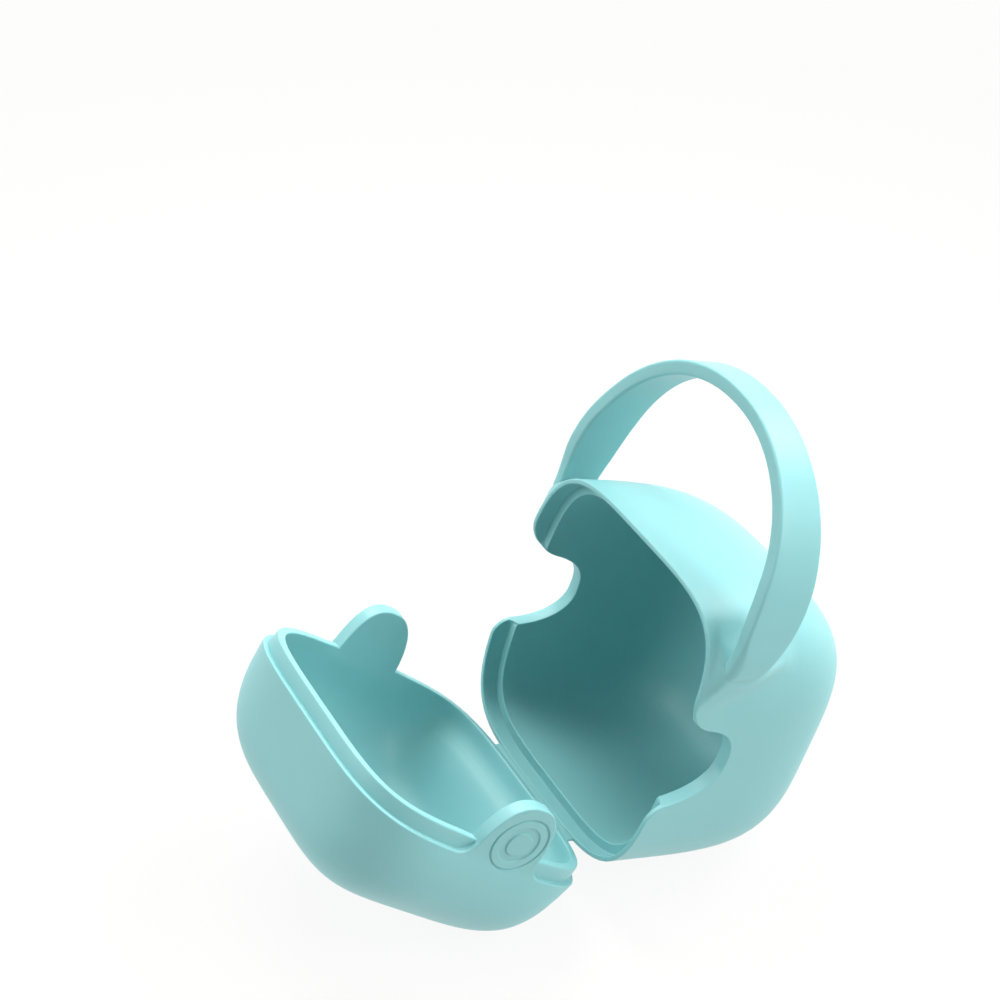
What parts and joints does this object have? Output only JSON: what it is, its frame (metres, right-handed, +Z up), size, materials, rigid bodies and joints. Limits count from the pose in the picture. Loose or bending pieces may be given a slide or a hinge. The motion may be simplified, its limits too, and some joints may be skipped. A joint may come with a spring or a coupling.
{
  "type": "pacifier case",
  "caption": "Soft silicone pacifier case: a deep back shell with an arched carrying strap and a shallow hinged lid whose side ears close into notches; shown standing open.",
  "frame": {"origin": "on the ground, under the middle of the open case", "axes": "+Z up; +X along the hinge, towards the right ear seen from the lid's side; +Y from the lid towards the back shell"},
  "size_m": [0.0794, 0.1332, 0.1144],
  "materials": {
    "silicone": "satin"
  },
  "bodies": {
    "case": {"back_shell": "silicone", "carry_strap": "silicone", "hinge_web": "silicone"},
    "lid": {"lid_shell": "silicone"},
    "left_ear": {"left_ear": "silicone"},
    "right_ear": {"right_ear": "silicone"}
  },
  "joints": [
    {"name": "lid_hinge", "type": "hinge", "parent": "case", "child": "lid", "pos_m": [0, -0.00095, 0.0085], "axis": [1, 0, 0], "range_deg": [-67.9, 112.1], "stiffness_Nm_per_rad": 0.0342, "springref_deg": -7.39, "deforming": ["hinge_web"]},
    {"name": "left_ear_press", "type": "hinge", "parent": "lid", "child": "left_ear", "pos_m": [-0.03525, -0.0299, 0.03297], "axis": [0, 0.7638, -0.6455], "range_deg": [0, 19], "stiffness_Nm_per_rad": 0.008},
    {"name": "right_ear_press", "type": "hinge", "parent": "lid", "child": "right_ear", "pos_m": [0.03525, -0.0299, 0.03297], "axis": [0, -0.7638, 0.6455], "range_deg": [0, 19], "stiffness_Nm_per_rad": 0.008}
  ]
}
